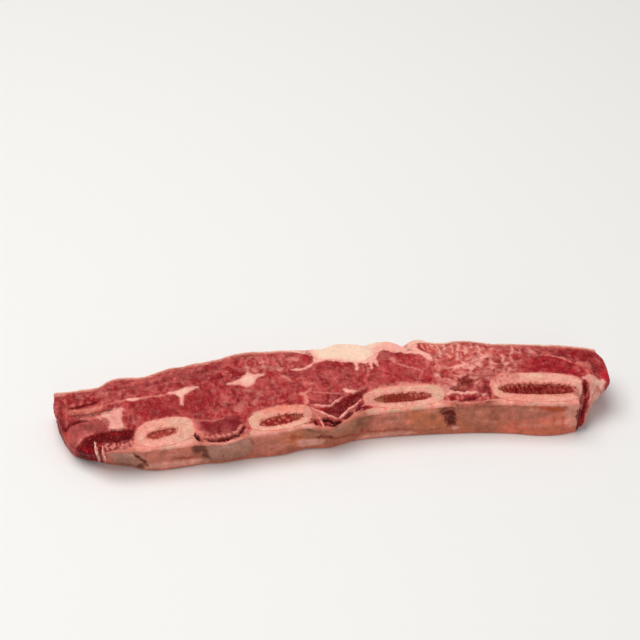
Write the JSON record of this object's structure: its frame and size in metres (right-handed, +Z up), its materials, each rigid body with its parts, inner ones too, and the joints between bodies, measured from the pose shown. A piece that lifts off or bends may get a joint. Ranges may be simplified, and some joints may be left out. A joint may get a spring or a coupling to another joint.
{
  "type": "beef rib strip",
  "caption": "Raw strip of beef ribs sawn across the bones, with red lean, cream fat, oval bone sections with spongy cores and a tan lining along the bone side.",
  "frame": {"origin": "middle of the box's underside, on the plane that the strip lies on, between the second and third ribs", "axes": "+X along the strip towards the thicker end with the longest bone section, +Y from the bone side to the outer fat, +Z up from the lower saw cut to the upper one"},
  "size_m": [0.2822, 0.0626, 0.0234],
  "materials": {
    "lean": "moist cut beef, deep red with pink marbling and a soft wet sheen",
    "fat": "firm cream to pink fat, matt with a slight waxy sheen",
    "lining": "tan to pink membrane with darker stains, smooth and glossy",
    "bone": "sawn bone, pink ivory, matt",
    "marrow": "dark red spongy bone, grainy and moist"
  },
  "bodies": {
    "root": {"lean_meat": "lean", "chest_lining": "lining", "fat_cap": "fat", "seam_fat_1": "fat", "seam_fat_2": "fat", "seam_fat_3": "fat", "rib_bone_1": "bone", "rib_bone_2": "bone", "rib_bone_3": "bone", "rib_bone_4": "bone", "bone_core_1": "marrow", "bone_core_2": "marrow", "bone_core_3": "marrow", "bone_core_4": "marrow"}
  },
  "joints": []
}
